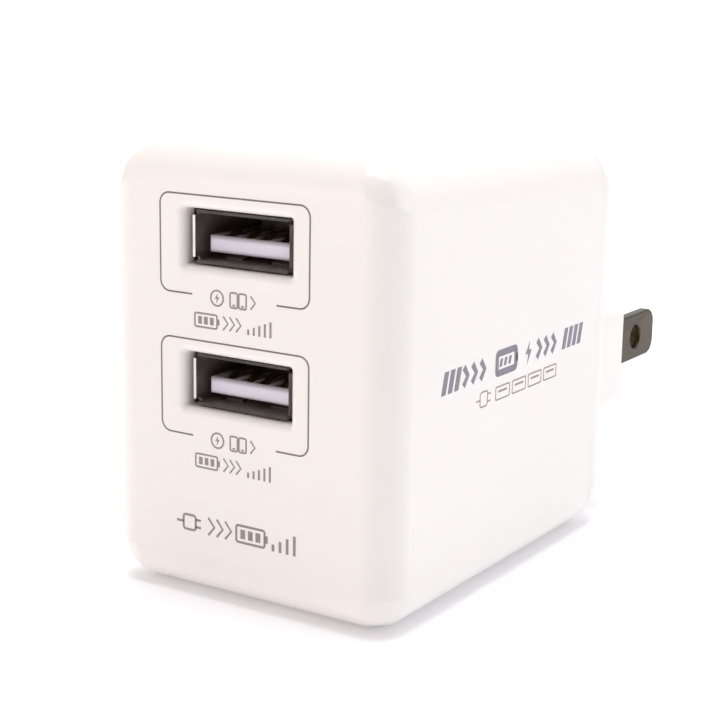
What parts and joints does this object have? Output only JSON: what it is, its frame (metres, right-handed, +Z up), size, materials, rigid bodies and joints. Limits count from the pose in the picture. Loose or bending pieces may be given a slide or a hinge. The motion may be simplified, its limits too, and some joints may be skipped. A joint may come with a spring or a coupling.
{
  "type": "usb wall charger",
  "caption": "White block-shaped USB wall charger with stacked sockets on the front and side and a folding flat-blade plug on a raised boss at the back.",
  "frame": {"origin": "middle of the flat bottom face, under the middle of the block", "axes": "+Z up, sockets of the front face towards -Y, plug towards +Y, +X to the right seen from the front"},
  "size_m": [0.0374, 0.078, 0.05],
  "materials": {
    "housing_white": "satin",
    "carrier_white": "satin",
    "blade_nickel": "bright",
    "bracket_black": "matt",
    "screw_steel": "bright",
    "spring_bronze": "satin",
    "lead_insulation": "satin",
    "socket_steel": "satin",
    "tongue_plastic": "satin",
    "contact_gold": "bright",
    "board_green": "satin",
    "chip_black": "matt",
    "fuse_brown": "satin",
    "thermistor_green": "satin",
    "x_cap_yellow": "satin",
    "ferrite_grey": "matt",
    "copper_wire": "bright",
    "capacitor_sleeve": "gloss",
    "spreader_aluminium": "satin",
    "bobbin_black": "matt",
    "tape_yellow": "gloss",
    "y_cap_blue": "gloss",
    "opto_cream": "satin",
    "barrier_sheet": "satin"
  },
  "bodies": {
    "charger": {"main_housing": "housing_white", "rear_cover": "housing_white", "pivot_retainer": "bracket_black", "retainer_screws": "screw_steel", "detent_spring": "screw_steel", "contact_spring_left": "spring_bronze", "contact_spring_right": "spring_bronze", "mains_leads": "lead_insulation", "usb_shell_front_upper": "socket_steel", "usb_tongue_front_upper": "tongue_plastic", "usb_contacts_front_upper": "contact_gold", "usb_shell_front_lower": "socket_steel", "usb_tongue_front_lower": "tongue_plastic", "usb_contacts_front_lower": "contact_gold", "usb_shell_side_upper": "socket_steel", "usb_tongue_side_upper": "tongue_plastic", "usb_contacts_side_upper": "contact_gold", "usb_shell_side_lower": "socket_steel", "usb_tongue_side_lower": "tongue_plastic", "usb_contacts_side_lower": "contact_gold", "front_port_board": "board_green", "side_port_board": "board_green", "main_board": "board_green", "board_link_pins": "contact_gold", "port_control_chips": "chip_black", "fuse": "fuse_brown", "inrush_thermistor": "thermistor_green", "x_capacitor": "x_cap_yellow", "choke_core": "ferrite_grey", "choke_winding": "copper_wire", "bridge_rectifier": "chip_black", "bulk_capacitor_upper": "capacitor_sleeve", "bulk_capacitor_lower": "capacitor_sleeve", "switch_transistor": "chip_black", "heat_spreader": "spreader_aluminium", "transformer_core": "ferrite_grey", "transformer_bobbin": "bobbin_black", "transformer_winding": "tape_yellow", "y_capacitor": "y_cap_blue", "optocoupler": "opto_cream", "sync_rectifier_chip": "chip_black", "output_capacitors": "capacitor_sleeve", "output_inductor": "copper_wire", "insulation_sheet": "barrier_sheet"},
    "plug": {"blade_left": "blade_nickel", "blade_right": "blade_nickel", "blade_carrier": "carrier_white"}
  },
  "joints": [
    {"name": "plug_fold", "type": "hinge", "parent": "charger", "child": "plug", "pos_m": [0.0068, 0.028, 0.0201], "axis": [1, 0, 0], "range_deg": [0, 90]}
  ]
}
